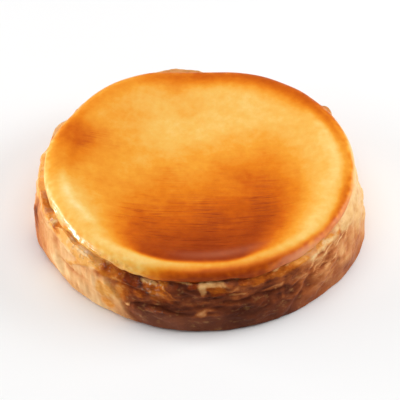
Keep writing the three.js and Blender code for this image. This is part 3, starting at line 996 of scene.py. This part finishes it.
def ramp(tree, factor, stops):
    node = add(tree, "ShaderNodeValToRGB", {"Fac": factor})
    elements = node.color_ramp.elements
    while len(elements) < len(stops):
        elements.new(0.5)
    for element, (place, colour) in zip(elements, stops):
        element.position = place
        element.color = tone(*colour)
    return node.outputs["Color"]


def mixed(tree, factor, first, second):
    values = {0: factor, 6: first, 7: second}
    return add(tree, "ShaderNodeMix", values, data_type="RGBA", clamp_factor=True).outputs[2]


def stretched(tree, value, low, high, new_low=0.0, new_high=1.0):
    values = {"Value": value, "From Min": low, "From Max": high, "To Min": new_low, "To Max": new_high}
    return add(tree, "ShaderNodeMapRange", values).outputs["Result"]


def object_place(tree):
    return add(tree, "ShaderNodeTexCoord").outputs["Object"]


def clouds(tree, place, scale, detail, roughness=0.5):
    """Soft noise from 0 to 1."""
    values = {"Vector": place, "Scale": scale, "Detail": detail, "Roughness": roughness}
    return add(tree, "ShaderNodeTexNoise", values).outputs["Fac"]


def new_group(name, inputs, outputs):
    group = bpy.data.node_groups.new(name, "ShaderNodeTree")
    for label, value in inputs:
        socket = group.interface.new_socket(label, in_out="INPUT", socket_type="NodeSocketFloat")
        socket.default_value = value
    for label in outputs:
        group.interface.new_socket(label, in_out="OUTPUT", socket_type="NodeSocketFloat")
    return group, group.nodes.new("NodeGroupInput").outputs, group.nodes.new("NodeGroupOutput").inputs


def make_oven_mottle():
    """Uneven browning: soft blotches with finer ones inside, centred on 0, and flattened into layers."""
    inputs = (("Blotch Scale", 60.0), ("Layering", 1.0), ("Amount", 0.1))
    group, given, result = new_group("OvenMottle", inputs, ("Shift",))
    flat = add(group, "ShaderNodeCombineXYZ", {"X": 1.0, "Y": 1.0, "Z": given["Layering"]})
    values = {0: object_place(group), 1: flat.outputs[0]}
    place = add(group, "ShaderNodeVectorMath", values, operation="MULTIPLY").outputs[0]
    broad = clouds(group, place, given["Blotch Scale"], 5.0, 0.62)
    centred = sums(group, "SUBTRACT", broad, 0.5)
    join(group, result["Shift"], times(group, centred, given["Amount"]))
    return group


def make_crumb_grain():
    """The fine grain of baked custard: a height for bump, and a mask of tiny dark pores."""
    inputs = (("Grain Scale", 600.0), ("Pore Scale", 260.0), ("Pore Share", 0.12))
    group, given, result = new_group("CrumbGrain", inputs, ("Height", "Pores"))
    place = object_place(group)
    fine = clouds(group, place, given["Grain Scale"], 3.0)
    cells = add(group, "ShaderNodeTexVoronoi", {"Vector": place, "Scale": given["Pore Scale"]})
    pores = stretched(group, cells.outputs["Distance"], 0.0, given["Pore Share"], 1.0, 0.0)
    join(group, result["Height"], sums(group, "SUBTRACT", fine, pores))
    join(group, result["Pores"], pores)
    return group


def make_moist_patches():
    """Roughness that changes between a wet and a dry finish in patches."""
    inputs = (("Patch Scale", 45.0), ("Wet Roughness", 0.25), ("Dry Roughness", 0.5))
    group, given, result = new_group("MoistPatches", inputs, ("Roughness",))
    patch = clouds(group, object_place(group), given["Patch Scale"], 3.0)
    spread = stretched(group, patch, 0.35, 0.65, given["Wet Roughness"], given["Dry Roughness"])
    join(group, result["Roughness"], spread)
    return group


def make_butter_glaze():
    """Beads of melted butter where it is wet: how much clear coat lies on each spot, and their height."""
    inputs = (("Wet", 0.0), ("Bead Scale", 160.0), ("Cover", 0.0))
    group, given, result = new_group("ButterGlaze", inputs, ("Coat", "Beads"))
    beads = clouds(group, object_place(group), given["Bead Scale"], 2.0)
    beaded = stretched(group, beads, 0.53, 0.64)
    covered = sums(group, "MAXIMUM", beaded, given["Cover"])
    join(group, result["Beads"], times(group, beaded, given["Wet"]))
    join(group, result["Coat"], times(group, given["Wet"], covered))
    return group


OVEN_MOTTLE = make_oven_mottle()
CRUMB_GRAIN = make_crumb_grain()
MOIST_PATCHES = make_moist_patches()
BUTTER_GLAZE = make_butter_glaze()


def use(tree, group, values):
    return add(tree, "ShaderNodeGroup", values, node_tree=group).outputs


def mottled(tree, scale, amount, layering=1.0):
    return use(tree, OVEN_MOTTLE, {"Blotch Scale": scale, "Layering": layering, "Amount": amount})["Shift"]


def mask(tree, name):
    return add(tree, "ShaderNodeAttribute", attribute_name=name).outputs["Fac"]


def new_finish(name):
    material = bpy.data.materials.new(name)
    material.use_nodes = True
    tree = material.node_tree
    return material, tree, tree.nodes["Principled BSDF"]


def bumped(tree, shader, height, strength, distance):
    relief = add(tree, "ShaderNodeBump", {"Height": height, "Strength": strength, "Distance": distance})
    join(tree, shader.inputs["Normal"], relief.outputs["Normal"])


def crease_lines(tree, level):
    """Thin dark lines where the burnt skin has wrinkled across the dish, broken into short runs."""
    long_way = add(tree, "ShaderNodeMapping", {"Vector": object_place(tree), "Scale": (17.0, 560.0, 60.0)})
    waves = clouds(tree, long_way.outputs["Vector"], 1.0, 2.0)
    runs = clouds(tree, object_place(tree), 42.0, 2.0)
    away = sums(tree, "ABSOLUTE", sums(tree, "SUBTRACT", waves, 0.5), 0.0)
    lines = stretched(tree, away, 0.0, 0.045, 1.0, 0.0)
    broken = times(tree, lines, stretched(tree, runs, 0.36, 0.62))
    broken = times(tree, broken, mask(tree, "creased"))
    return times(tree, broken, stretched(tree, level, 0.25, 0.7))


def caramel_skin():
    material, tree, shader = new_finish("caramel_skin")
    soft = mottled(tree, scale=36.0, amount=0.2)
    fine = mottled(tree, scale=170.0, amount=0.22)
    grains = use(tree, CRUMB_GRAIN, {"Grain Scale": 420.0, "Pore Scale": 120.0, "Pore Share": 0.07})
    level = plus(tree, mask(tree, "bake"), plus(tree, soft, fine))
    creases = crease_lines(tree, mask(tree, "bake"))
    specks = times(tree, grains["Pores"], stretched(tree, soft, 0.01, 0.05))
    marks = plus(tree, times(tree, creases, 0.19), times(tree, specks, 0.3))
    browned = ramp(tree, plus(tree, level, marks), CARAMEL)
    # Rosy tint with painted sheen laid over the browned skin
    rosy_and_sheen = mixed(tree, mask(tree, "rosy_and_sheen"), browned, ROSY_SHEEN_SKIN)
    colour = mixed(tree, mask(tree, "cream"), rosy_and_sheen, CREAM_SKIN)
    moist = use(tree, MOIST_PATCHES, {"Patch Scale": 22.0, "Wet Roughness": 0.32, "Dry Roughness": 0.44})
    glaze = use(tree, BUTTER_GLAZE, {"Wet": mask(tree, "wet"), "Bead Scale": 260.0, "Cover": 1.0})
    relief = sums(tree, "SUBTRACT", times(tree, grains["Height"], 0.35), creases)
    relief = plus(tree, relief, times(tree, glaze["Beads"], 3.0))
    bumped(tree, shader, relief, 0.3, 0.0006)
    feed(tree, shader, {
        "Base Color": colour, "Roughness": moist["Roughness"], "Specular IOR Level": 0.12,
        "Coat Weight": glaze["Coat"], "Coat Roughness": 0.18, "Coat IOR": 2.2,
        "Subsurface Weight": 0.1, "Subsurface Radius": (1.0, 0.45, 0.15), "Subsurface Scale": 0.003,
    })
    return material


def paper_creased_crust():
    material, tree, shader = new_finish("paper_creased_crust")
    soft = mottled(tree, scale=80.0, layering=1.3, amount=0.4)
    thin = mottled(tree, scale=130.0, layering=2.2, amount=0.5)
    streaks = mottled(tree, scale=220.0, layering=0.16, amount=0.3)
    change = sums(tree, "SUBTRACT", thin, streaks)
    layered = plus(tree, streaks, times(tree, mask(tree, "ragged"), change))
    grains = use(tree, CRUMB_GRAIN, {"Grain Scale": 520.0, "Pore Scale": 240.0, "Pore Share": 0.16})
    calm = times(tree, soft, stretched(tree, mask(tree, "ragged"), 0.2, 0.8, 0.55, 1.0))
    level = plus(tree, mask(tree, "bake"), plus(tree, calm, layered))
    level = plus(tree, level, times(tree, grains["Pores"], 0.1))
    toasted = ramp(tree, level, TOASTED)
    shreds = mottled(tree, scale=170.0, layering=1.8, amount=1.7)
    uneven = plus(tree, level, times(tree, shreds, 0.5))
    steamed = mixed(tree, mask(tree, "rosy_and_sheen"), toasted, STEAMED_CRUST)
    syrup = ramp(tree, uneven, SYRUP)
    sticky = plus(tree, mask(tree, "amber"), times(tree, shreds, 0.6))
    with_amber = mixed(tree, stretched(tree, sticky, 0.25, 0.8, 0.0, 0.9), steamed, syrup)
    torn = sums(tree, "SUBTRACT", mask(tree, "cream"), shreds)
    custard = ramp(tree, uneven, CUSTARD)
    colour = mixed(tree, stretched(tree, torn, 0.1, 1.0, 0.0, 0.95), with_amber, custard)
    moist = use(tree, MOIST_PATCHES, {"Patch Scale": 70.0, "Wet Roughness": 0.36, "Dry Roughness": 0.6})
    glaze = use(tree, BUTTER_GLAZE, {"Wet": mask(tree, "wet"), "Bead Scale": 420.0, "Cover": 0.0})
    relief = sums(tree, "SUBTRACT", grains["Height"], times(tree, layered, 3.0))
    relief = plus(tree, relief, times(tree, glaze["Beads"], 4.0))
    bumped(tree, shader, relief, 0.5, 0.0007)
    feed(tree, shader, {
        "Base Color": colour, "Roughness": moist["Roughness"], "Specular IOR Level": 0.07,
        "Coat Weight": glaze["Coat"], "Coat Roughness": 0.14, "Coat IOR": 1.9,
        "Subsurface Weight": 0.1, "Subsurface Radius": (1.0, 0.5, 0.25), "Subsurface Scale": 0.002,
    })
    return material


def pale_underside():
    material, tree, shader = new_finish("pale_underside")
    mottle = mottled(tree, scale=45.0, amount=0.6)
    grains = use(tree, CRUMB_GRAIN, {"Grain Scale": 500.0, "Pore Scale": 200.0, "Pore Share": 0.2})
    level = plus(tree, mask(tree, "bake"), mottle)
    colour = ramp(tree, plus(tree, level, times(tree, grains["Pores"], 0.1)), UNDERSIDE)
    moist = use(tree, MOIST_PATCHES, {"Patch Scale": 40.0, "Wet Roughness": 0.45, "Dry Roughness": 0.7})
    bumped(tree, shader, grains["Height"], 0.4, 0.0006)
    feed(tree, shader, {"Base Color": colour, "Roughness": moist["Roughness"]})
    return material


cake = build_cake([caramel_skin(), paper_creased_crust(), pale_underside()])
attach(cake, "root")
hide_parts("cheesecake")


# Table, light and camera


def pale_table():
    material, tree, shader = new_finish("pale_table")
    feed(tree, shader, {"Base Color": (0.9, 0.9, 0.9, 1), "Roughness": 0.8})
    bpy.ops.mesh.primitive_plane_add(size=8.0, location=(0, 0, 0))
    table = bpy.context.object
    table.name = "pale_table"
    table.data.materials.append(material)


LIGHT_AIM = Vector((0, 0, 0.03))


def soft_light(name, place, size, power):
    data = bpy.data.lights.new(name, "AREA")
    data.shape = "RECTANGLE"
    data.size, data.size_y = size
    data.energy = power
    light = put_in_scene(name, data)
    light.location = place
    light.rotation_euler = (LIGHT_AIM - Vector(place)).to_track_quat("-Z", "Y").to_euler()


def studio():
    pale_table()
    soft_light("overhead_softbox", (0.0, 0.15, 1.7), (2.2, 1.2), 19)
    soft_light("left_softbox", (-1.45, 0.12, 0.3), (1.1, 0.6), 18.3)
    soft_light("right_softbox", (1.4, 0.2, 0.75), (0.9, 0.8), 15)
    world = bpy.data.worlds.new("studio_air")
    world.use_nodes = True
    tree = world.node_tree
    feed(tree, tree.nodes["Background"], {"Color": (1, 1, 1, 1), "Strength": 0.22})
    bpy.context.scene.world = world
    bpy.context.scene.view_settings.view_transform = "Standard"


def camera():
    elevation = math.radians(44)
    distance = 1.2
    aim = Vector((0, -0.0098, 0.02))
    data = bpy.data.cameras.new("camera")
    data.sensor_width = 36
    data.lens = 155.2
    view = put_in_scene("camera", data)
    away = Vector((0, -math.cos(elevation), math.sin(elevation)))
    view.location = aim + distance * away
    view.rotation_euler = (-away).to_track_quat("-Z", "Y").to_euler()
    bpy.context.scene.camera = view


studio()
camera()
